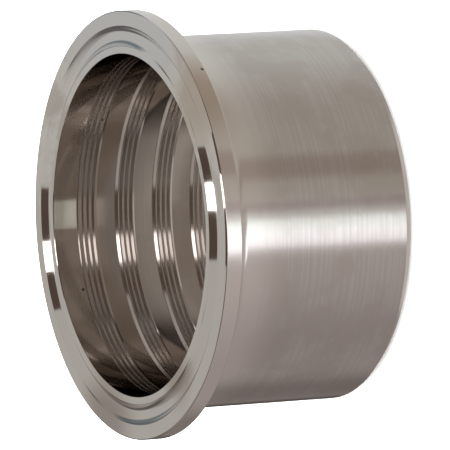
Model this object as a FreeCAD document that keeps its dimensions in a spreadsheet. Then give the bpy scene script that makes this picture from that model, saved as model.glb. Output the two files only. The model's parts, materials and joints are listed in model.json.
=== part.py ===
"""Roll-on hose ferrule: one turned stainless piece with a clamp flange.

The ferrule stands on its plain end. Z runs along its axis from the plain end
at zero up to the clamp face, and every section is drawn in the XZ plane and
turned about Z. All lengths are in millimetres.
"""
import FreeCAD, Part
import math
import os

import Sketcher
from FreeCAD import Vector

NODE = "ferrule_body"

# Driving dimensions: alias, value and what it measures.
DIMENSIONS = [
    ("bore_diameter", 51.0, "bore at the lands, a two inch tube with clearance"),
    ("wall_thickness", 2.3, "barrel wall outside the bore"),
    ("flange_height", 4.15, "flange rim above the barrel, along the radius"),
    ("overall_length", 33.4, "plain end to clamp face"),
    ("rim_width", 2.7, "flange at its outer edge"),
    ("back_taper", 20.0, "slope of the flange's back, in degrees"),
    ("neck_radius", 2.2, "fillet between the flange's back and the barrel"),
    ("end_bevel", 1.35, "bevel round the outside of the plain end"),
    ("rim_front_break", 0.3, "broken edge where the rim meets the clamp face"),
    ("rim_back_break", 0.2, "broken edge at the back of the rim"),
    ("mouth_break", 0.15, "broken edge where the bore meets the clamp face"),
    ("end_break", 0.3, "broken edge where the bore meets the plain end"),
    ("inner_land", 1.13, "flat face between the bore and the gasket groove"),
    ("gasket_width", 3.05, "gasket groove across its lips"),
    ("gasket_depth", 0.9, "gasket groove below the clamp face"),
    ("first_notch", 4.55, "clamp face to the middle of the first fine notch"),
    ("notch_pitch", 0.8, "step from one fine notch to the next, and a notch's width"),
    ("notch_depth", 0.25, "fine notch below the bore wall"),
    ("notch_count", 4, "fine notches in the first group"),
    ("group_pitch", 6.4, "step from one group of notches to the next"),
    ("group_count", 4, "groups of notches along the bore"),
    ("relief_depth", 0.4, "relief groove between two groups, below the bore wall"),
    ("relief_flank", 0.7, "each sloping side of the relief groove, along the bore"),
]

# Radii and heights that several features share, written in the sheet's names.
BORE_RADIUS = "sizes.bore_diameter / 2"
BARREL_RADIUS = f"({BORE_RADIUS} + sizes.wall_thickness)"
FLANGE_RADIUS = f"({BARREL_RADIUS} + sizes.flange_height)"
GROOVE_RADIUS = f"({BORE_RADIUS} + sizes.inner_land + sizes.gasket_width / 2)"
# The circle through both lips and the bottom of the gasket groove.
GROOVE_CURVE = ("((sizes.gasket_width ^ 2 / 4 + sizes.gasket_depth ^ 2)"
                " / (2 * sizes.gasket_depth))")
GROOVE_HEIGHT = f"sizes.overall_length + {GROOVE_CURVE} - sizes.gasket_depth"
# The relief takes the place of one notch, so a later group has one fewer.
GROUP_REST = "(sizes.notch_count - 1)"
RELIEF_WIDTH = f"(sizes.group_pitch - {GROUP_REST} * sizes.notch_pitch)"

# How a sketch numbers a line's points and its own two axes.
START, END, CENTRE = range(1, 4)
X_AXIS, Y_AXIS = -1, -2


def make_sizes(doc):
    """Write the driving dimensions into the sheet that every feature reads."""
    sheet = doc.addObject("Spreadsheet::Sheet", "sizes")
    for row, (alias, value, meaning) in enumerate(DIMENSIONS, start=1):
        sheet.set(f"A{row}", alias)
        sheet.set(f"B{row}", str(value))
        sheet.set(f"C{row}", meaning)
        sheet.setAlias(f"B{row}", alias)
    doc.recompute()
    return sheet


def origin_feature(body, role):
    """Return the body's own origin plane or axis with the given role."""
    return next(item for item in body.Origin.OriginFeatures if item.Role == role)


def new_sketch(body, name):
    """Start a sketch on the XZ plane, where X is the radius and Y the height."""
    sketch = body.newObject("Sketcher::SketchObject", name)
    sketch.AttachmentSupport = [(origin_feature(body, "XZ_Plane"), "")]
    sketch.MapMode = "FlatFace"
    return sketch


def draw_lines(sketch, points):
    """Draw straight lines from point to point and return their numbers."""
    numbers = []
    for start, end in zip(points, points[1:]):
        line = Part.LineSegment(Vector(*start, 0), Vector(*end, 0))
        numbers.append(sketch.addGeometry(line, False))
    return numbers


def join(sketch, lines):
    """Join the end of each line to the start of the next."""
    for line, following in zip(lines, lines[1:]):
        sketch.addConstraint(Sketcher.Constraint("Coincident", line, END, following, START))


def hold(sketch, kind, lines):
    """Keep the listed lines horizontal or vertical."""
    for line in lines:
        sketch.addConstraint(Sketcher.Constraint(kind, line))


def dimension(sketch, kind, targets, guess, name, expression):
    """Add a named dimension and bind it to the sheet."""
    index = sketch.addConstraint(Sketcher.Constraint(kind, *targets, guess))
    sketch.renameConstraint(index, name)
    sketch.setExpression(f"Constraints.{name}", expression)


def from_axis(sketch, point, guess, name, expression):
    """Set a point's distance from the turning axis."""
    targets = (Y_AXIS, START, *point)
    dimension(sketch, "DistanceX", targets, guess, name, expression)


def from_plain_end(sketch, point, guess, name, expression):
    """Set a point's height above the plain end."""
    targets = (X_AXIS, START, *point)
    dimension(sketch, "DistanceY", targets, guess, name, expression)


def span(sketch, kind, line, guess, name, expression):
    """Set a line's size along one axis, whichever way the line was drawn."""
    axis = ("DistanceX", "DistanceY").index(kind)
    ends = [(line, START), (line, END)]
    first, last = sorted(ends, key=lambda point: sketch.getPoint(*point)[axis])
    dimension(sketch, kind, (*first, *last), guess, name, expression)


def corner(sketch, line, guess, alias):
    """Give a short sloping line one size, both along the radius and along the axis."""
    span(sketch, "DistanceX", line, guess, f"{alias}_across", f"sizes.{alias}")
    span(sketch, "DistanceY", line, guess, f"{alias}_along", f"sizes.{alias}")


def turn(body, kind, name, sketch):
    """Turn a section right round the axis, adding or cutting metal."""
    feature = body.newObject(f"PartDesign::{kind}", name)
    feature.Profile = sketch
    feature.ReferenceAxis = (sketch, ["V_Axis"])
    feature.Angle = 360.0
    sketch.Visibility = False
    body.Document.recompute()
    return feature


def repeat(body, name, features, steps):
    """Repeat a cut down the bore, away from the clamp face."""
    axis = origin_feature(body, "Z_Axis")
    patterns = []
    for index, (spacing, count) in enumerate(steps, start=1):
        pattern = body.newObject("PartDesign::LinearPattern", f"{name}Step{index}")
        pattern.Direction = (axis, [""])
        pattern.Reversed = True
        pattern.setExpression("Length", f"{spacing} * ({count} - 1)")
        pattern.setExpression("Occurrences", count)
        patterns.append(pattern)
    if len(patterns) == 1:
        patterns[0].Originals = features
        body.Tip = patterns[0]
        body.Document.recompute()
        return patterns[0]
    rows = body.newObject("PartDesign::MultiTransform", name)
    rows.Originals = features
    rows.Transformations = patterns
    body.Tip = rows
    body.Document.recompute()
    return rows


def turn_blank(body, sizes):
    """Turn the outline: plain end, barrel, neck, tapered flange and plain bore."""
    bore = sizes.bore_diameter / 2
    barrel = bore + sizes.wall_thickness
    flange = barrel + sizes.flange_height
    top = sizes.overall_length
    bevel = sizes.end_bevel
    back = sizes.rim_back_break
    front = sizes.rim_front_break
    mouth = sizes.mouth_break
    end = sizes.end_break
    slope = math.radians(sizes.back_taper)
    rim = top - sizes.rim_width
    # The neck's centre lies one radius from the barrel and one from the taper.
    neck = sizes.neck_radius
    reach = sizes.flange_height - neck
    neck_height = rim - reach * math.tan(slope) - neck / math.cos(slope)
    neck_end = (barrel + neck * (1 - math.sin(slope)), neck_height + neck * math.cos(slope))
    taper_end = (flange - back, rim - back * math.tan(slope))

    sketch = new_sketch(body, "OutlineSection")
    barrel_lines = draw_lines(sketch, [
        (bore + end, 0), (barrel - bevel, 0), (barrel, bevel), (barrel, neck_height),
    ])
    flange_lines = draw_lines(sketch, [
        neck_end, taper_end, (flange, rim + back), (flange, top - front), (flange - front, top),
        (bore + mouth, top), (bore, top - mouth), (bore, end), (bore + end, 0),
    ])
    end_face, bevel_line, barrel_line = barrel_lines
    taper, back_line, rim_line, front_line, clamp_face = flange_lines[:5]
    mouth_line, bore_line, end_line = flange_lines[5:]
    circle = Part.Circle(Vector(barrel + neck, neck_height, 0), Vector(0, 0, 1), neck)
    arc = Part.ArcOfCircle(circle, math.pi / 2 + slope, math.pi)
    neck_arc = sketch.addGeometry(arc, False)

    join(sketch, barrel_lines)
    join(sketch, flange_lines + [end_face])
    sketch.addConstraint(Sketcher.Constraint("Tangent", barrel_line, END, neck_arc, END))
    sketch.addConstraint(Sketcher.Constraint("Tangent", neck_arc, START, taper, START))
    sketch.addConstraint(Sketcher.Constraint("PointOnObject", end_face, START, X_AXIS))
    hold(sketch, "Horizontal", [end_face, clamp_face])
    hold(sketch, "Vertical", [barrel_line, rim_line, bore_line])
    from_axis(sketch, (bore_line, START), bore, "bore_radius", BORE_RADIUS)
    from_axis(sketch, (barrel_line, START), barrel, "barrel_radius", BARREL_RADIUS)
    from_axis(sketch, (rim_line, START), flange, "flange_radius", FLANGE_RADIUS)
    from_plain_end(sketch, (clamp_face, START), top, "length", "sizes.overall_length")
    dimension(sketch, "DistanceY", (rim_line, START, clamp_face, START),
              sizes.rim_width - back, "rim", "sizes.rim_width - sizes.rim_back_break")
    span(sketch, "DistanceX", back_line, back, "back_across", "sizes.rim_back_break")
    span(sketch, "DistanceY", back_line, back * (1 + math.tan(slope)), "back_along",
         "sizes.rim_back_break * (1 + tan(sizes.back_taper * 1 deg))")
    dimension(sketch, "Angle", (taper,), slope, "taper", "sizes.back_taper * 1 deg")
    dimension(sketch, "Radius", (neck_arc,), neck, "neck", "sizes.neck_radius")
    corner(sketch, bevel_line, bevel, "end_bevel")
    corner(sketch, front_line, front, "rim_front_break")
    corner(sketch, mouth_line, mouth, "mouth_break")
    corner(sketch, end_line, end, "end_break")
    return turn(body, "Revolution", "Blank", sketch)


def cut_gasket_groove(body, sizes):
    """Cut the round-bottomed ring in the clamp face that seats the gasket."""
    width = sizes.gasket_width
    depth = sizes.gasket_depth
    curve = (width ** 2 / 4 + depth ** 2) / (2 * depth)
    middle = sizes.bore_diameter / 2 + sizes.inner_land + width / 2
    height = sizes.overall_length + curve - depth
    sketch = new_sketch(body, "GasketSection")
    cutter = Part.Circle(Vector(middle, height, 0), Vector(0, 0, 1), curve)
    circle = sketch.addGeometry(cutter, False)
    dimension(sketch, "Radius", (circle,), curve, "groove_curve", GROOVE_CURVE)
    from_axis(sketch, (circle, CENTRE), middle, "groove_radius", GROOVE_RADIUS)
    from_plain_end(sketch, (circle, CENTRE), height, "groove_height", GROOVE_HEIGHT)
    return turn(body, "Groove", "GasketGroove", sketch)


def cut_notch(body, sizes, name, order):
    """Cut one fine V notch in the bore, counted from the clamp face."""
    bore = sizes.bore_diameter / 2
    depth = sizes.notch_depth
    width = sizes.notch_pitch
    height = sizes.overall_length - sizes.first_notch - order * sizes.notch_pitch
    sketch = new_sketch(body, f"{name}Section")
    # The V starts one depth inside the bore, where it is twice as wide.
    start = (bore - depth, height - width)
    lines = draw_lines(sketch, [
        start, (bore + depth, height), (bore - depth, height + width), start,
    ])
    join(sketch, lines + lines[:1])
    lower, upper, mouth = lines
    hold(sketch, "Vertical", [mouth])
    sketch.addConstraint(Sketcher.Constraint("Equal", lower, upper))
    from_axis(sketch, (lower, END), bore + depth, "root_radius",
              f"{BORE_RADIUS} + sizes.notch_depth")
    from_axis(sketch, (lower, START), bore - depth, "mouth_radius",
              f"{BORE_RADIUS} - sizes.notch_depth")
    from_plain_end(sketch, (lower, END), height, "root_height",
                   f"sizes.overall_length - sizes.first_notch - {order} * sizes.notch_pitch")
    span(sketch, "DistanceY", lower, width, "half_mouth", "sizes.notch_pitch")
    return turn(body, "Groove", name, sketch)


def cut_relief(body, sizes):
    """Cut the shallow groove with sloping sides between the first two groups."""
    bore = sizes.bore_diameter / 2
    depth = sizes.relief_depth
    flank = sizes.relief_flank
    rest = sizes.notch_count - 1
    mouth_top = sizes.overall_length - sizes.first_notch - (rest + 0.5) * sizes.notch_pitch
    high = mouth_top - flank
    floor_length = sizes.group_pitch - rest * sizes.notch_pitch - 2 * flank
    low = high - floor_length
    sketch = new_sketch(body, "ReliefSection")
    # Like a notch, the relief is drawn on to one depth inside the bore.
    start = (bore + depth, low)
    lines = draw_lines(sketch, [
        start, (bore + depth, high), (bore - depth, high + 2 * flank),
        (bore - depth, low - 2 * flank), start,
    ])
    join(sketch, lines + lines[:1])
    floor, upper, mouth, lower = lines
    hold(sketch, "Vertical", [floor, mouth])
    sketch.addConstraint(Sketcher.Constraint("Equal", upper, lower))
    from_axis(sketch, (floor, START), bore + depth, "floor_radius",
              f"{BORE_RADIUS} + sizes.relief_depth")
    from_axis(sketch, (mouth, START), bore - depth, "mouth_radius",
              f"{BORE_RADIUS} - sizes.relief_depth")
    from_plain_end(sketch, (floor, END), high, "upper_corner",
                   "sizes.overall_length - sizes.first_notch"
                   f" - ({GROUP_REST} + 0.5) * sizes.notch_pitch - sizes.relief_flank")
    span(sketch, "DistanceY", floor, floor_length, "floor_length",
         f"{RELIEF_WIDTH} - 2 * sizes.relief_flank")
    span(sketch, "DistanceY", upper, 2 * flank, "flank_length", "2 * sizes.relief_flank")
    return turn(body, "Groove", "Relief", sketch)


def make_ferrule(doc, sizes):
    """Turn the blank, then cut the gasket groove, the notches and the reliefs."""
    body = doc.addObject("PartDesign::Body", "Ferrule")
    body.Label = NODE
    body.Placement = FreeCAD.Placement()
    turn_blank(body, sizes)
    cut_gasket_groove(body, sizes)
    cut_notch(body, sizes, "LeadNotch", 0)
    notch = cut_notch(body, sizes, "Notch", 1)
    repeat(body, "Notches", [notch], [
        ("sizes.notch_pitch", GROUP_REST),
        ("sizes.group_pitch", "sizes.group_count"),
    ])
    relief = cut_relief(body, sizes)
    repeat(body, "Reliefs", [relief], [("sizes.group_pitch", "(sizes.group_count - 1)")])
    return body


def check(doc, bodies):
    """Stop if any object failed or any sub-part isn't one sound solid."""
    for item in doc.Objects:
        if "Invalid" in item.State or "Error" in item.State:
            raise RuntimeError(f"{item.Name} failed: {item.State}")
    for body in bodies:
        shape = body.Shape
        if shape.isNull() or not shape.isValid() or len(shape.Solids) != 1:
            raise RuntimeError(f"{body.Label} isn't one valid solid")


def main():
    """Build the document, check it and write one STEP file for the ferrule."""
    os.makedirs("parts", exist_ok=True)
    doc = FreeCAD.newDocument("RollOnFerrule")
    sizes = make_sizes(doc)
    bodies = [make_ferrule(doc, sizes)]
    doc.recompute()
    check(doc, bodies)
    for body in bodies:
        box = body.Shape.BoundBox
        print(f"{body.Label}: {box.XLength:.2f} x {box.YLength:.2f} x {box.ZLength:.2f} mm,"
              f" volume {body.Shape.Volume:.1f} mm3, {len(body.Shape.Faces)} faces")
        body.Shape.exportStep(f"parts/{body.Label}.step")


main()
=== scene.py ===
# %% [markdown]
# # A turned steel ferrule
# The object is one piece of stainless steel, turned on a lathe: a short barrel with a clamp
# flange at one end and bands of fine grooves in the bore. A lathe leaves every surface round and
# covered in fine rings, so this lesson is about three things: turning a mesh from one outline,
# giving metal the direction of its tool marks, and lighting something that is nearly a mirror.
#
# The imported model is loaded first and its box is measured.

# %% Start
import json
import math

import bmesh
import bpy
from mathutils import Matrix, Vector


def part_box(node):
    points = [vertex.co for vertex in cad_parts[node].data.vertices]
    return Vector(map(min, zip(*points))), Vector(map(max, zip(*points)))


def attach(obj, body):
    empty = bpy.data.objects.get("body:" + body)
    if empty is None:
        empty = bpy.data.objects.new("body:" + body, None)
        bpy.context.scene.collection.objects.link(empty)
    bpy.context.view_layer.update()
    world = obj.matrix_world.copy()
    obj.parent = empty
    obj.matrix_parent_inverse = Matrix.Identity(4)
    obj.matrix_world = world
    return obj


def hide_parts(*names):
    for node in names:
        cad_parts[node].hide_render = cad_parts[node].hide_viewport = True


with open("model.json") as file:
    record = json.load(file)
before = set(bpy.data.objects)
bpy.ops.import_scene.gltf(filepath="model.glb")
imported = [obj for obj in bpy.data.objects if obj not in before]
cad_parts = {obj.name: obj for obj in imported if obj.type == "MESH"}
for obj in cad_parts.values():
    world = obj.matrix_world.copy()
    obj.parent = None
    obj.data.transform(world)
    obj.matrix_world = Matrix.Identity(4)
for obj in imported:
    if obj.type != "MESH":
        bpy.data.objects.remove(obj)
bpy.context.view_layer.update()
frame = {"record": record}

# %% [markdown]
# ## Sizes
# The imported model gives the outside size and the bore, so they are read from it. The smaller
# sizes, which it can't tell us by name, are written in millimetres where each is first needed.

# %% Sizes
MM = 0.001
NODE = "ferrule_body"

node_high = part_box(NODE)[1]
FLANGE_RADIUS = node_high[0] / MM
LENGTH = node_high[2] / MM
bore_mount = next(m for m in frame["record"]["mounts"] if m["name"] == "hose_bore")
BORE_RADIUS = bore_mount["dims"]["r_mm"]
print(f"flange {2 * FLANGE_RADIUS:.1f} mm across")
print(f"bore {2 * BORE_RADIUS:.1f} mm across, {LENGTH:.1f} mm long")

# %% [markdown]
# ## One outline for the whole part
# A lathe makes a solid of revolution, so the mesh starts as half of its section: a closed outline
# of corners, each with a radius, a height and a rounding. No real edge is perfectly sharp, and the
# rounding is what catches the thin bright lines along the rim. A bevel modifier could round the
# edges later, but a rounding worked out here also gives the exact direction that the surface
# faces, which a mirror-like metal needs.
#
# The outside comes first: the bevel at the plain end, the barrel, the hollow of the neck, and the
# flange with its sloping back, on which a clamp pulls.

# %% Outside
WALL = 2.3
BARREL_RADIUS = BORE_RADIUS + WALL
BORE_BREAK = 0.3
LAND_DROP = 0.05
END_BEVEL = 1.35
NECK_RADIUS = 2.2
BACK_TAPER = math.radians(20)
RIM_WIDTH = 2.7
FINE_EDGE = 0.05
EDGE = 0.12
BACK_EDGE = 0.2
FRONT_EDGE = 0.3


def outside_corners():
    """The plain end, barrel and flange, from the bore outwards: (radius, height, rounding)."""
    taper_foot = LENGTH - RIM_WIDTH - (FLANGE_RADIUS - BARREL_RADIUS) * math.tan(BACK_TAPER)
    return [
        (BORE_RADIUS + LAND_DROP, BORE_BREAK, FINE_EDGE),
        (BORE_RADIUS + BORE_BREAK, 0, FINE_EDGE),
        (BARREL_RADIUS - END_BEVEL, 0, EDGE),
        (BARREL_RADIUS, END_BEVEL, EDGE),
        (BARREL_RADIUS, taper_foot, NECK_RADIUS),
        (FLANGE_RADIUS, LENGTH - RIM_WIDTH, BACK_EDGE),
        (FLANGE_RADIUS, LENGTH, FRONT_EDGE),
    ]


print(len(outside_corners()), "corners on the outside")

# %% [markdown]
# The clamp face has a round-bottomed groove for the bead of a gasket. It could be cut out of the
# mesh with a boolean, but as corners of the outline it leaves no stray edges. Its two walls are
# drawn as a V, and one large rounding turns the point of the V into the groove's bottom.

# %% Clamp face
INNER_LAND = 1.13
GASKET_WIDTH = 3.05
GASKET_WALL = math.radians(56.6)
GASKET_BOTTOM_RADIUS = 1.73
LIP_EDGE = 0.15


def clamp_face_corners():
    """The clamp face, inwards over the gasket groove to the bore's mouth."""
    inner_lip = BORE_RADIUS + INNER_LAND
    half = GASKET_WIDTH / 2
    meeting = LENGTH - half * math.tan(GASKET_WALL)
    return [
        (inner_lip + GASKET_WIDTH, LENGTH, LIP_EDGE),
        (inner_lip + half, meeting, GASKET_BOTTOM_RADIUS),
        (inner_lip, LENGTH, LIP_EDGE),
        (BORE_RADIUS, LENGTH, LIP_EDGE),
    ]


print(len(clamp_face_corners()), "corners on the clamp face")

# %% [markdown]
# The bore holds a hose that is rolled outwards into it, so it has four bands of four fine grooves
# to grip with. Each groove has a steep side towards the clamp face and a long slope behind it, like
# a saw's tooth. In the first band the grooves get wider one by one. In each later band the first
# groove is the widest and deepest. Behind a band the bore is a hair wider, and that small step
# catches a thin line of light.
#
# The grooves could be left to a bump in the material. They are corners of the outline instead,
# because in a metal like this only a real slope shows the right part of the room.

# %% Bore
FIRST_NOTCH = 3.95
NOTCHES = 4
NOTCH_PITCH = 0.84
GROUPS = 4
GROUP_PITCH = 6.4
NOTCH_WIDTH = 0.5
NOTCH_SLOPE = math.radians(26)
LEAD_WIDTH = 0.62
LEAD_SLOPE = math.radians(36)
FIRST_WIDTH = 0.24
FIRST_WIDENING = 0.07
NOTCH_SHOULDER = 0.05
NOTCH_EDGE = 0.025
NOTCH_CREST = 0.15
BAND_MARGIN = 0.12
LAND_RAMP = 0.3
LAND_ROUNDING = 0.3


def bore_corners():
    """The bore's bands of fine grooves, down from the clamp face."""
    corners = []
    for group in range(GROUPS):
        for notch in range(NOTCHES):
            top = LENGTH - FIRST_NOTCH - group * GROUP_PITCH - notch * NOTCH_PITCH
            leads = group > 0 and notch == 0
            slope, width = (LEAD_SLOPE, LEAD_WIDTH) if leads else (NOTCH_SLOPE, NOTCH_WIDTH)
            if group == 0:
                width = FIRST_WIDTH + FIRST_WIDENING * notch
            root = BORE_RADIUS + (width - NOTCH_SHOULDER) * math.tan(slope)
            start = BORE_RADIUS + LAND_DROP if leads else BORE_RADIUS
            corners.append((start, top, NOTCH_EDGE))
            corners.append((root, top - NOTCH_SHOULDER, NOTCH_EDGE))
            corners.append((BORE_RADIUS, top - width, NOTCH_CREST))
        end = top - width - BAND_MARGIN
        corners.append((BORE_RADIUS, end, LAND_ROUNDING))
        corners.append((BORE_RADIUS + LAND_DROP, end - LAND_RAMP, LAND_ROUNDING))
    return corners


corners = outside_corners() + clamp_face_corners() + bore_corners()
print(len(corners), "corners in the whole outline")

# %% [markdown]
# ## Round the corners
# Each corner becomes an arc that touches both of its edges. Every point keeps the direction that
# the metal faces there, worked out from the arc itself, so a flat stays flat in a reflection and
# an edge rolls over smoothly. The finest roundings are too small to show their facets. They get
# fewer steps, which keeps the mesh light.

# %% Rounded outline
ARC_STEP = math.radians(9)
FINE_ARC_STEP = math.radians(36)
FEWEST_STEPS = 2


def rounded(corners):
    """Turn corners into (point, facing) pairs, both as vectors of radius and height."""
    outline = []
    count = len(corners)
    for index, (radius, height, rounding) in enumerate(corners):
        here = Vector((radius, height))
        before = Vector(corners[index - 1][:2])
        after = Vector(corners[(index + 1) % count][:2])
        arriving = (here - before).normalized()
        leaving = (after - here).normalized()
        turn = math.atan2(arriving.cross(leaving), arriving.dot(leaving))
        reach = rounding * math.tan(abs(turn) / 2)
        side = math.copysign(1, turn)
        start = here - arriving * reach
        centre = start + Vector((-arriving.y, arriving.x)) * rounding * side
        arc_step = ARC_STEP if rounding > FINE_EDGE else FINE_ARC_STEP
        steps = max(FEWEST_STEPS, math.ceil(abs(turn) / arc_step))
        for step in range(steps + 1):
            along = Matrix.Rotation(turn * step / steps, 2) @ arriving
            facing = Vector((along.y, -along.x))
            outline.append((centre + facing * rounding * side, facing))
    return outline


outline = rounded(corners)
print(len(outline), "points in the rounded outline")

# %% [markdown]
# ## Which tool cut what
# The barrel, the clamp face, the bore and its grooves were each cut by a tool of their own, so each
# has a finish of its own. One material could tell them apart with masks, but four material slots
# keep each finish short. A face of the mesh is told by its place: the clamp face reaches over the
# front half of the rim, and the grooves are the bands in the bore.

# %% Finish of a face
BARREL, FACE, BORE, GROOVES = range(4)
MOUTH_MARGIN = 0.05
DEEPEST_CUT = 0.5
BORE_START = 0.2
CLOSE = 0.01
BAND_LENGTH = NOTCH_PITCH * (NOTCHES - 1) + NOTCH_WIDTH


def finish_at(radius, height):
    """Which of the four finishes a point of the outline belongs to."""
    if height > LENGTH - RIM_WIDTH / 2 and radius > BORE_RADIUS + MOUTH_MARGIN:
        return FACE
    if radius < BORE_RADIUS + DEEPEST_CUT and height > BORE_START:
        depth = LENGTH - height - FIRST_NOTCH
        return GROOVES if depth > -CLOSE and depth % GROUP_PITCH < BAND_LENGTH else BORE
    return BARREL


print(f"each band of grooves is {BAND_LENGTH:.2f} mm long")

# %% [markdown]
# ## Turn it
# Spinning the outline about the Z axis gives rings of four-sided faces. A screw modifier does the
# same, but here the loop is written out, because each new vertex also carries its own facing.
# These exact directions are then stored as the mesh's custom normals.

# %% Turned mesh
TURNS = 288


def spoke(angle):
    """The direction away from the axis at an angle round it, from the camera's side."""
    return Vector((math.sin(angle), -math.cos(angle), 0))


def turned_mesh(name, outline, turns):
    """Spin an outline into a closed mesh with exact normals."""
    build = bmesh.new()
    rings = []
    normals = []
    for turn in range(turns):
        across = spoke(2 * math.pi * turn / turns)
        ring = []
        for point, facing in outline:
            ring.append(build.verts.new(across * point.x * MM + Vector((0, 0, point.y * MM))))
            normals.append(across * facing.x + Vector((0, 0, facing.y)))
        rings.append(ring)
    count = len(outline)
    for turn in range(turns):
        ring, following = rings[turn], rings[(turn + 1) % turns]
        for index in range(count):
            after = (index + 1) % count
            face = build.faces.new((ring[index], following[index], following[after], ring[after]))
            face.smooth = True
            middle = (outline[index][0] + outline[after][0]) / 2
            face.material_index = finish_at(middle.x, middle.y)
    mesh = bpy.data.meshes.new(name)
    build.to_mesh(mesh)
    build.free()
    mesh.normals_split_custom_set_from_vertices(normals)
    return mesh


mesh = turned_mesh("turned_ferrule", outline, TURNS)
triangles = sum(len(face.vertices) - 2 for face in mesh.polygons)
print(triangles, "triangles in the turned mesh")

# %% [markdown]
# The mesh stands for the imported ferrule, and it moves with the part's only body.

# %% Ferrule
ferrule = bpy.data.objects.new("turned_ferrule", mesh)
bpy.context.scene.collection.objects.link(ferrule)
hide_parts(NODE)
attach(ferrule, "root")
print(ferrule.name, "stands for", NODE)

# %% [markdown]
# ## Helpers for materials
# Colours are written as the sRGB hex values that a paint program shows, and Blender's shaders
# want linear light, so one function converts them. One more function adds a node to a material,
# with its settings and its links.

# %% Material helpers
def linear(code):
    """An sRGB hex colour as linear RGBA."""
    channels = [int(code[index:index + 2], 16) / 255 for index in (1, 3, 5)]
    return [c / 12.92 if c <= 0.04045 else ((c + 0.055) / 1.055) ** 2.4 for c in channels] + [1.0]


def add_node(tree, kind, inputs=None, **settings):
    """Add a node; inputs maps a socket to a value, or to the socket that feeds it."""
    node = tree.nodes.new(kind)
    for name, value in settings.items():
        setattr(node, name, value)
    for socket, value in (inputs or {}).items():
        if isinstance(value, bpy.types.NodeSocket):
            tree.links.new(value, node.inputs[socket])
        else:
            node.inputs[socket].default_value = value
    return node


def new_material(name):
    """An empty node material and the surface socket of its output."""
    material = bpy.data.materials.new(name)
    material.use_nodes = True
    material.node_tree.nodes.clear()
    output = material.node_tree.nodes.new("ShaderNodeOutputMaterial")
    return material, material.node_tree, output.inputs["Surface"]


print("middle grey is", round(linear("#808080")[0], 3), "in linear light")

# %% [markdown]
# Stains on the metal, light painted onto the metal and light in the room are all painted in
# patches.
# They could be images, but a mask needs no file and stays smooth close up. One function makes a
# mask, which is 1 inside a range of values and fades to 0 outside it. Another lays a colour over
# what is behind it, where all its masks are 1. A range that is open on one side runs to ANY, a
# number that is past every length and angle here.

# %% Patches
ANY = 999


def between(tree, value, low, high, soft):
    """A mask that is 1 where a value lies between two limits, with soft edges outside them."""
    sides = []
    for limit, outside in ((low, low - soft), (high, high + soft)):
        side = add_node(tree, "ShaderNodeMapRange", {
            "Value": value, "From Min": outside, "From Max": limit,
        }, interpolation_type="SMOOTHSTEP")
        sides.append(side.outputs["Result"])
    both = add_node(tree, "ShaderNodeMath", {0: sides[0], 1: sides[1]}, operation="MULTIPLY")
    return both.outputs[0]


def lay(tree, behind, masks, colour, light=1.0):
    """Lay a colour over what is behind it, by all the masks multiplied together."""
    mask = masks[0]
    for other in masks[1:]:
        both = add_node(tree, "ShaderNodeMath", {0: mask, 1: other}, operation="MULTIPLY")
        mask = both.outputs[0]
    paint = [channel * light for channel in linear(colour)[:3]] + [1.0]
    # A colour Mix node's two colours are its sockets 6 and 7, and its result is output 2.
    mix = add_node(tree, "ShaderNodeMix", {0: mask, 6: behind, 7: paint}, data_type="RGBA")
    return mix.outputs[2]


# %% [markdown]
# Patches are placed by where they are on the ferrule: in millimetres along each axis, and by a
# bearing, which is the angle round the axis in degrees, from the camera's side towards +X.

# %% Positions
def bearing_of(tree, x, y):
    """A socket for the bearing in degrees of a point or direction, from -Y towards +X."""
    near = add_node(tree, "ShaderNodeMath", {0: y, 1: -1.0}, operation="MULTIPLY").outputs[0]
    turn = add_node(tree, "ShaderNodeMath", {0: x, 1: near}, operation="ARCTAN2").outputs[0]
    return add_node(tree, "ShaderNodeMath", {0: turn}, operation="DEGREES").outputs[0]


def positions(tree):
    """Sockets for a point's place in millimetres, its X, Y and Z, and its bearing in degrees."""
    metres = add_node(tree, "ShaderNodeTexCoord").outputs["Object"]
    in_mm = add_node(tree, "ShaderNodeVectorMath", {0: metres, "Scale": 1 / MM}, operation="SCALE")
    place = in_mm.outputs[0]
    parts = add_node(tree, "ShaderNodeSeparateXYZ", {"Vector": place}).outputs
    bearing = bearing_of(tree, parts["X"], parts["Y"])
    return {"place": place, "x": parts["X"], "y": parts["Y"], "z": parts["Z"], "bearing": bearing}


# %% [markdown]
# ## Turned stainless steel
# Stainless steel is a warm grey metal. A lathe tool leaves one fine ring for every turn of the
# work, so the surface is smoother along the rings than across them. That is anisotropy: a
# highlight stays narrow along the rings and smears across them.
#
# The rings could be a wave texture, but its rings are all alike. So they are noise squeezed along
# the axis, or outwards across a face, which changes from ring to ring and hardly changes round a
# ring: RING_STRETCH makes a streak some 80 mm long. A fine cut feeds about 0.1 mm a turn, which is
# less than a pixel of this picture. So the rings are drawn coarser than the real ones, 0.3 mm apart
# on the barrel and 0.5 mm elsewhere, to show at all.

# %% Ring marks
RING_PITCH = 0.5
BARREL_PITCH = 0.3
RING_STRETCH = 0.012


def ring_marks(tree, at, pitch, across):
    """The tool's rings, as a value from 0 to 1 that changes along Z, or across a face."""
    along = at["z"]
    if across:
        flat = add_node(tree, "ShaderNodeCombineXYZ", {"X": at["x"], "Y": at["y"]}).outputs[0]
        outwards = add_node(tree, "ShaderNodeVectorMath", {0: flat}, operation="LENGTH")
        along = outwards.outputs["Value"]
    place = add_node(tree, "ShaderNodeCombineXYZ", {"X": at["x"], "Y": at["y"], "Z": along})
    squeezed = add_node(tree, "ShaderNodeMapping", {
        "Vector": place.outputs[0], "Scale": (RING_STRETCH, RING_STRETCH, 1 / pitch),
    })
    noise = add_node(tree, "ShaderNodeTexNoise", {
        "Vector": squeezed.outputs["Vector"], "Scale": 1.0, "Detail": 2.0, "Roughness": 0.6,
    })
    return noise.outputs["Fac"]


print(f"rings {BARREL_PITCH} mm apart on the barrel, {RING_PITCH} mm elsewhere")

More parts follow.
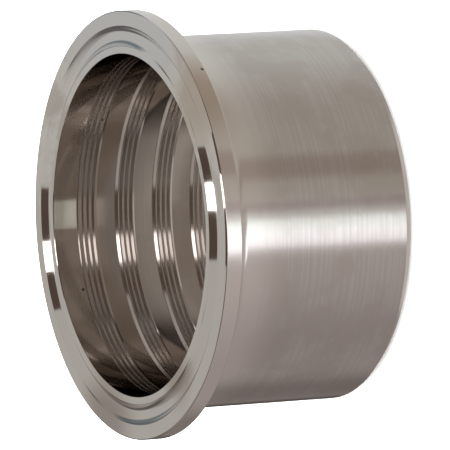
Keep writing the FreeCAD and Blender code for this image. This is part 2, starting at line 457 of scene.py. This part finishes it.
# %% [markdown]
# Handled steel isn't one even grey. It has faint clouds about 7 mm across, as wiping leaves, soft
# stains that are larger, and on this ferrule three dark specks. They could be painted by hand, but
# a short list is easy to move and change. A spot is given by its bearing, radius, height, size and
# colour, and it fades away from its middle.

# %% Stained steel
CLOUD_SIZE = 7
CLOUD_START = 0.62
CLOUD_FADE = 0.2
SPECK_SIZE = 0.3
SPECK = "#4A4440"
SPOTS = [
    (-112, 31.5, LENGTH, 9, "#AEA69F"),
    (-60, 26.0, LENGTH, 5, "#B9B0A8"),
    (35, 31.0, LENGTH, 8, "#CBC0B3"),
    (43.7, FLANGE_RADIUS, 31.15, SPECK_SIZE, SPECK),
    (140.7, BORE_RADIUS, 26.85, SPECK_SIZE, SPECK),
    (-158.7, BORE_RADIUS, 29.9, SPECK_SIZE, SPECK),
]


def colour_with_stains_and_painted_light(tree, at, rings, colours, stains_and_painted_light):
    """The steel's colour: rings and clouds of nearly its own grey, then stain or painted light,
    then spots.
    """
    clouds = add_node(tree, "ShaderNodeTexNoise", {
        "Vector": at["place"], "Scale": 1 / CLOUD_SIZE, "Detail": 3.0, "Roughness": 0.6,
    }).outputs["Fac"]
    steel_colour, ring_colour, cloud_colour = colours
    shade = lay(tree, linear(steel_colour), [rings], ring_colour)
    cloudy = between(tree, clouds, CLOUD_START, ANY, CLOUD_FADE)
    shade = lay(tree, shade, [cloudy], cloud_colour)
    # Each finish's own patches are laid here: stains, or painted light such as a painted sheen or
    # painted reflections.
    for colour, limits in stains_and_painted_light:
        masks = [between(tree, at[name], *limit) for name, limit in limits.items()]
        shade = lay(tree, shade, masks, colour)
    for bearing, radius, height, size, colour in SPOTS:
        middle = spoke(math.radians(bearing)) * radius + Vector((0, 0, height))
        away = add_node(
            tree, "ShaderNodeVectorMath", {0: at["place"], 1: middle}, operation="DISTANCE",
        ).outputs["Value"]
        shade = lay(tree, shade, [between(tree, away, -ANY, size / 4, size)], colour)
    return shade


print(len(SPOTS), "spots on the steel")

# %% [markdown]
# The shader itself is a metal with Blender's usual IOR. The rings drive its roughness a little up
# and down and raise a bump of less than a thousandth of a millimetre, so that the streaks change
# as the light does. The tangent runs round the axis, and a quarter turn of the anisotropy lays the
# smear across the rings. The edge colour is what the metal shows at a low angle.

# %% Turned finish
ROUGHNESS_SPREAD = 0.02
USUAL_RINGS = (0.25, 0.75)
QUARTER_TURN = 0.25
NO_TINT = "#FFFFFF"


def turned_steel(
    name, colours, roughness, anisotropy,
    bump=0.0, across=False, stains_and_painted_light=(), edge=NO_TINT, pitch=RING_PITCH,
):
    """Stainless steel with turned rings along Z, or across its face, and stain or painted light
    laid over it.
    """
    material, tree, surface = new_material(name)
    at = positions(tree)
    rings = ring_marks(tree, at, pitch, across)
    gloss = add_node(tree, "ShaderNodeMapRange", {
        "Value": rings, "From Min": USUAL_RINGS[0], "From Max": USUAL_RINGS[1],
        "To Min": roughness - ROUGHNESS_SPREAD, "To Max": roughness + ROUGHNESS_SPREAD,
    })
    relief = add_node(tree, "ShaderNodeBump", {
        "Height": rings, "Strength": 1.0, "Distance": bump * MM,
    })
    tangent = add_node(tree, "ShaderNodeTangent", direction_type="RADIAL", axis="Z")
    steel = add_node(tree, "ShaderNodeBsdfPrincipled", {
        "Base Color": colour_with_stains_and_painted_light(tree, at, rings, colours, stains_and_painted_light),
        "Metallic": 1.0, "Roughness": gloss.outputs["Result"],
        "Anisotropic": anisotropy, "Anisotropic Rotation": QUARTER_TURN,
        "Specular Tint": linear(edge),
        "Normal": relief.outputs["Normal"], "Tangent": tangent.outputs["Tangent"],
    })
    tree.links.new(steel.outputs["BSDF"], surface)
    return material


# %% [markdown]
# The barrel is stainless steel with a fine turned finish. Its many rings smear every reflection
# into soft bands along the barrel, with thin streaks round it. A painted sheen makes it a little
# lighter towards the neck, for the light that the flange's back throws onto it.

# %% Turned barrel
BARREL_GREYS = ("#DDDBD8", "#C3C1BE", "#CAC7C2")
turned_barrel = turned_steel(
    "turned_stainless_barrel", BARREL_GREYS, roughness=0.15, anisotropy=0.95, bump=0.0006,
    # painted sheen: paler from 28 mm up, towards the neck
    pitch=BARREL_PITCH, stains_and_painted_light=[("#E6E4E0", {"z": (28, ANY, 8)})],
)
print("made", turned_barrel.name)

# %% [markdown]
# The clamp face is stainless steel faced flat with a smoother cut, because a gasket seals on it.
# It reflects almost like a mirror, and the rims of its gasket groove show sharp pieces of light.

# %% Faced flange
FACE_GREYS = ("#E8E5E1", "#DEDBD6", "#CDC8C1")
faced_flange = turned_steel(
    "faced_stainless_flange", FACE_GREYS, roughness=0.07, anisotropy=0.5, bump=0.0002,
    across=True, stains_and_painted_light=[
        # the face is darker on the -X side, and a little paler from bearing 66 to 110
        ("#D6D2CD", {"x": (-ANY, -8, 24)}),
        ("#DFE0E0", {"bearing": (66, 110, 24)}),
    ],
)
print("made", faced_flange.name)

# %% [markdown]
# The bore is stainless steel bored out smooth, so it is a mirror tube. It is darker than the face,
# because light reaches the eye only after several reflections in it, and each takes its share.
# Two long pale streaks and one pale block, on the land by the mouth, are painted reflections that
# follow the photograph.

# %% Bored inside
BORE_GREYS = ("#CFC8C2", "#C5BDB6", "#C5BDB6")
PAINTED_REFLECTION = "#E2DAD5"
bored_inside = turned_steel(
    "bored_stainless_inside", BORE_GREYS, roughness=0.07, anisotropy=0.5, edge="#8A807A",
    stains_and_painted_light=[
        # painted reflections: two long pale streaks round the bore and a pale block by the mouth
        (PAINTED_REFLECTION, {"bearing": (136, 140, 5)}),
        (PAINTED_REFLECTION, {"bearing": (-134, -130, 5)}),
        ("#EEF0EA", {"bearing": (171, 179, 2), "z": (29.8, ANY, 0.8)}),
    ],
)
print("made", bored_inside.name)

# %% [markdown]
# The grooves are stainless steel too, cut by a small pointed tool that leaves a rougher face. So
# each groove is a soft dark line with a soft bright one beside it.

# %% Cut grooves
cut_grooves = turned_steel(
    "grooved_stainless", BORE_GREYS, roughness=0.2, anisotropy=0.9, edge="#A69E99",
)
finishes = {
    BARREL: turned_barrel, FACE: faced_flange, BORE: bored_inside, GROOVES: cut_grooves,
}
for slot in sorted(finishes):
    mesh.materials.append(finishes[slot])
print(len(finishes), "finishes on the ferrule")

# %% [markdown]
# ## Floor
# The ferrule stands on its plain end on a white paper floor, lit so brightly that it shows as
# plain white. The background is white too, so the floor could be left out, but the ferrule needs
# something to stand on in the other views. Polished steel would show the floor all over the barrel,
# and the photograph doesn't, so the floor is kept out of reflections and doesn't block the light
# that comes from below. It lies a hair under the ferrule, so that no two faces share one place.

# %% Floor
FLOOR_RADIUS = 6000
FLOOR_DROP = 0.02
ROUND_SIDES = 96

paper, tree, surface = new_material("white_paper")
matt = add_node(tree, "ShaderNodeBsdfDiffuse", {"Color": linear("#FAFAF9")})
tree.links.new(matt.outputs["BSDF"], surface)

floor_mesh = bpy.data.meshes.new("studio_floor")
build = bmesh.new()
bmesh.ops.create_circle(build, cap_ends=True, segments=ROUND_SIDES, radius=FLOOR_RADIUS * MM)
build.to_mesh(floor_mesh)
build.free()
floor_mesh.materials.append(paper)
floor = bpy.data.objects.new("studio_floor", floor_mesh)
floor.location.z = -FLOOR_DROP * MM
bpy.context.scene.collection.objects.link(floor)
floor.visible_glossy = False
floor.visible_shadow = False
print("floor", 2 * FLOOR_RADIUS * MM, "m across")

# %% [markdown]
# ## Well
# The bore is a mirror tube, and what it shows is what lies below its open lower end: first a dim
# near wall, then, after two reflections, the far side. The white floor would make it far too
# bright, and a darker floor would show grey in the picture. So a dim well, seen only in
# reflections, stands under the bore. It is darkest round its mouth, gets lighter with depth, and
# has one bright patch low on the far side. Each line below is a patch: its bearings and their soft
# edge, its heights and theirs, its colour and its strength.

# %% Light in the well
WELL_DEPTH = 30
WELL_FLOOR = -WELL_DEPTH + 0.1
dim_well, tree, surface = new_material("dim_well")
at = positions(tree)
inside = lay(tree, linear("#807A75"), [between(tree, at["z"], -ANY, -14, 13)], "#BBB4AE")
for low, high, soft, bottom, top, fade, colour, strength in [
    (-ANY, -125, 40, -9, ANY, 4, "#46403C", 1),
    (125, ANY, 40, -9, ANY, 4, "#46403C", 1),
    (-100, -22, 24, -ANY, -15, 5, "#8F867F", 1),
    (-12, 122, 14, -ANY, -12, 6, "#8F867F", 1),
    (134, 175, 5, -21.6, -10, 1.2, "#FFFFFC", 1.1),
    (-ANY, -102, 16, -0.8, ANY, 0.6, "#332E2B", 1),
    (102, ANY, 16, -0.8, ANY, 0.6, "#332E2B", 1),
    (-ANY, ANY, 1, -ANY, WELL_FLOOR, 0.1, "#CFC9C4", 1),
]:
    round_it = between(tree, at["bearing"], low, high, soft)
    down_it = between(tree, at["z"], bottom, top, fade)
    inside = lay(tree, inside, [round_it, down_it], colour, strength)
print("well", WELL_DEPTH, "mm deep")

# %% [markdown]
# The well's outer side is seen by the barrel, and takes the place of the floor there. The light
# that a face of the well gives depends on which of its sides is looked at.

# %% Light round the well
outside = lay(tree, linear("#D2CBC6"), [between(tree, at["bearing"], -ANY, -42, 10)], "#A09793")
outside = lay(tree, outside, [between(tree, at["bearing"], 40, 75, 14)], "#A39C98")
from_inside = add_node(tree, "ShaderNodeNewGeometry").outputs["Backfacing"]
light = add_node(tree, "ShaderNodeMix", {0: from_inside, 6: outside, 7: inside}, data_type="RGBA")
glow = add_node(tree, "ShaderNodeEmission", {"Color": light.outputs[2]})
tree.links.new(glow.outputs["Emission"], surface)
print(len(tree.nodes), "nodes in the well's light")

# %% [markdown]
# The well is a plain cup: a ring of upright faces and a fan for its bottom.

# %% Well
WELL_MARGIN = 0.3
well_radius = (BORE_RADIUS + WELL_MARGIN) * MM
down = Vector((0, 0, -WELL_DEPTH * MM))
build = bmesh.new()
for side in range(ROUND_SIDES):
    rim = [spoke(2 * math.pi * turn / ROUND_SIDES) * well_radius for turn in (side, side + 1)]
    foot = [corner + down for corner in rim]
    for corners in ((rim[0], foot[0], foot[1], rim[1]), (foot[0], down, foot[1])):
        build.faces.new([build.verts.new(corner) for corner in corners])
well_mesh = bpy.data.meshes.new("bore_well")
build.to_mesh(well_mesh)
build.free()
well_mesh.materials.append(dim_well)
well = bpy.data.objects.new("bore_well", well_mesh)
well.location.z = -FLOOR_DROP * MM
bpy.context.scene.collection.objects.link(well)
well.visible_camera = False
well.visible_diffuse = False
well.visible_shadow = False
print(len(well_mesh.polygons), "faces in the well")

# %% [markdown]
# ## The room
# Polished steel has hardly any look of its own: it shows the room. So the light is a tent of pale
# cloth all round the ferrule, with a dark opening overhead and on the camera's side, and one long
# bright strip across that opening. It could be built from planes and lamps, but a world shader is
# free of noise and lets each patch have a soft edge. Directions are measured as a bearing in
# degrees from the camera's side towards +X, and as the direction's own X, Y and Z.

# %% Directions
world = bpy.data.worlds.new("light_tent")
bpy.context.scene.world = world
world.use_nodes = True
room = world.node_tree
room.nodes.clear()
direction = add_node(room, "ShaderNodeTexCoord").outputs["Generated"]
parts = add_node(room, "ShaderNodeSeparateXYZ", {"Vector": direction}).outputs
dir_x, dir_y, dir_z = parts["X"], parts["Y"], parts["Z"]
bearing = bearing_of(room, dir_x, dir_y)


def sector(middle, width, soft):
    """A mask for a range of bearings, in degrees, that may run on past 180."""
    off = add_node(room, "ShaderNodeMath", {0: bearing, 1: middle}, operation="SUBTRACT").outputs[0]
    off = add_node(room, "ShaderNodeMath", {0: off, 1: 180.0, 2: -180.0}, operation="WRAP")
    return between(room, off.outputs[0], (soft - width) / 2, (width - soft) / 2, soft)


print("the tent is", world.name)

# %% [markdown]
# A groove that runs round the axis is lit in pieces: a patch of light ends at the same bearing on
# all of its slopes. So the edges of the opening and the strip are straight lines that meet in the
# direction the camera looks along, and a patch is told by the slope of its line.

# %% Slope
CAMERA_RISE = math.radians(26.96)
level = math.cos(CAMERA_RISE)
short_of = add_node(room, "ShaderNodeMath", {0: level, 1: dir_y}, operation="SUBTRACT").outputs[0]
slope = add_node(room, "ShaderNodeMath", {0: dir_x, 1: short_of}, operation="DIVIDE").outputs[0]
print(f"the lines meet {math.degrees(CAMERA_RISE):.1f} degrees below level")

# %% [markdown]
# The barrel faces sideways, so it shows the lower half of the tent: dim on one side, brighter on
# the other and white behind. Each line is a patch of cloth: its middle, width and soft edge in
# degrees, and its colour.

# %% Lower half
tent = linear("#BDB2AE")
for middle, width, soft, colour in [
    (-100, 90, 70, "#A39895"),
    (-142, 40, 24, "#807774"),
    (-166, 13, 8, "#4E4743"),
    (60, 110, 30, "#B2A9A1"),
    (130, 70, 60, "#D0CECA"),
    (160, 30, 20, "#DADADA"),
    (30, 14, 8, "#9E9088"),
    (6, 5, 4, "#A99C98"),
    (179, 8, 6, "#B8B5B2"),
]:
    tent = lay(room, tent, [sector(middle, width, soft)], colour)
print(len(room.nodes), "nodes up to the lower half")

# %% [markdown]
# The flange's face looks up, into the upper half: even cloth, dimmer on the -X side. The slopes of
# the gasket groove look past its edge to the side, and show darker patches just above and below
# the level.

# %% Upper half
upper = between(room, dir_z, 0.16, ANY, 0.34)
tent = lay(room, tent, [upper], "#C3C0BC")
for middle, width, soft, low, high, fade, others, colour in [
    (-130, 48, 14, -ANY, 0.2, 0.6, [upper], "#8E8783"),
    (148, 24, 12, -0.15, 0.1, 0.3, [], "#8F9497"),
    (155, 38, 14, -0.26, 0.26, 0.08, [], "#7B8287"),
    (-154, 36, 14, -0.26, 0.26, 0.08, [], "#686462"),
]:
    masks = [sector(middle, width, soft), between(room, dir_z, low, high, fade)] + others
    tent = lay(room, tent, masks, colour)
print(len(room.nodes), "nodes up to the upper half")

# %% [markdown]
# The camera's side is dark just above the level, all the way across, and the bore's fine grooves
# show only that. Overhead is the dark opening, which widens towards the camera.

# %% Opening
OPENING_EDGES = [math.tan(math.radians(angle)) for angle in (-12, 23.5)]
for heights, sides, colour in [
    ((0.04, 0.3, 0.08), (-ANY, 0.25, 0.3), "#5E5650"),
    ((0.06, 0.5, 0.06), (-ANY, -0.45, 0.2), "#3E3733"),
]:
    masks = [between(room, dir_z, *heights), between(room, dir_y, *sides)]
    tent = lay(room, tent, masks, colour)
opening = [
    between(room, slope, *OPENING_EDGES, 0.02),
    between(room, dir_z, 0.12, ANY, 0.1),
    between(room, dir_y, -ANY, 0.4, 0.1),
]
tent = lay(room, tent, opening, "#5A4C45")
print("the opening's edges slope by", [round(edge, 2) for edge in OPENING_EDGES])

# %% [markdown]
# The bright strip crosses the opening and runs on down past the camera. It leans: low down it lies
# on the -X side, higher up on the +X side.

# %% Strip's place
LEAN = 0.312
LEVEL_SLOPE = 0.036
MOST_SLOPE = 0.135
HALF_STRIP = 0.07

leaning = add_node(
    room, "ShaderNodeMath", {0: dir_z, 1: LEAN, 2: LEVEL_SLOPE}, operation="MULTIPLY_ADD",
).outputs[0]
strip_middle = add_node(
    room, "ShaderNodeMath", {0: leaning, 1: MOST_SLOPE}, operation="MINIMUM",
).outputs[0]
off_strip = add_node(
    room, "ShaderNodeMath", {0: slope, 1: strip_middle}, operation="SUBTRACT",
).outputs[0]
before_back = between(room, dir_y, -ANY, 0.5, 0.16)
low_down = between(room, dir_z, -0.7, -0.3, 0.1)
print("the strip is", 2 * HALF_STRIP, "wide in slope")

# %% [markdown]
# Its light is brightest overhead, where the rim of the flange shows it. Low down, where the barrel
# shows it, it has a dim line along one edge and a wider, slightly green one along the other.

# %% Bright strip
strip = [
    between(room, off_strip, -HALF_STRIP, HALF_STRIP, 0.014), before_back,
    between(room, dir_z, -0.7, ANY, 0.1),
]
lower_edge = [between(room, off_strip, -0.09, -0.062, 0.008), low_down, before_back]
upper_edge = [between(room, off_strip, 0.03, 0.088, 0.008), low_down, before_back]
overhead = strip + [between(room, dir_z, 0.65, ANY, 0.2)]
above_level = strip + [between(room, dir_z, 0.05, 0.5, 0.06)]
for masks, colour, strength in [
    (strip, "#FFFAFE", 1.55),
    (lower_edge, "#C4BAB7", 1.0),
    (upper_edge, "#F7FCFA", 1.5),
    (overhead, "#FFFAF8", 4.0),
    (above_level, "#FFF2EF", 1.05),
]:
    tent = lay(room, tent, masks, colour, strength)
print(len(room.nodes), "nodes up to the strip")

# %% [markdown]
# The camera itself sees plain white behind everything, and the floor gets plenty of even light.

# %% World output
FLOOR_LIGHT = 3.5
ray = add_node(room, "ShaderNodeLightPath").outputs
seen = lay(room, tent, [ray["Is Camera Ray"]], "#FFFFFF")
seen = lay(room, seen, [ray["Is Diffuse Ray"]], "#FFFFFF", FLOOR_LIGHT)
light = add_node(room, "ShaderNodeBackground", {"Color": seen, "Strength": 1.0})
add_node(room, "ShaderNodeOutputWorld", {"Surface": light.outputs["Background"]})
print(len(room.nodes), "nodes in the tent")

# %% [markdown]
# ## Camera
# The photograph was taken from about a metre away with a long lens, above the clamp face, with
# the camera turned on its side so that the ferrule seems to lie down. A camera could be placed by
# eye. These numbers were worked out from the ellipses that the flange, the bore and the plain end
# make in the photograph: how wide they are gives the view from above, and how much smaller the far
# one is gives the distance.

# %% Camera
CAMERA_DISTANCE = 1059.1
CAMERA_ROLL = math.radians(-93.5)
CAMERA_AIM = Vector((-0.8, 0, 17.23))
SENSOR_WIDTH = 36
FOCAL_LENGTH = 566.8
CLIP_START, CLIP_END = 0.01, 50

lens = bpy.data.cameras.new("photo_camera")
lens.sensor_width = SENSOR_WIDTH
lens.lens = FOCAL_LENGTH
lens.clip_start = CLIP_START
lens.clip_end = CLIP_END
camera = bpy.data.objects.new("photo_camera", lens)
bpy.context.scene.collection.objects.link(camera)
bpy.context.scene.camera = camera
forward = Vector((0, math.cos(CAMERA_RISE), -math.sin(CAMERA_RISE)))
upright = forward.to_track_quat("-Z", "Y").to_matrix().to_4x4()
stand = Matrix.Translation((CAMERA_AIM - forward * CAMERA_DISTANCE) * MM)
camera.matrix_world = stand @ upright @ Matrix.Rotation(CAMERA_ROLL, 4, "Z")
print("camera at", [round(c / MM, 1) for c in camera.matrix_world.translation], "mm")

# %% [markdown]
# The plain sRGB view shows the light as it is, like the photograph's own white.

# %% Colour
view = bpy.context.scene.view_settings
view.view_transform = "Standard"
view.look = "None"
print("view transform", view.view_transform)
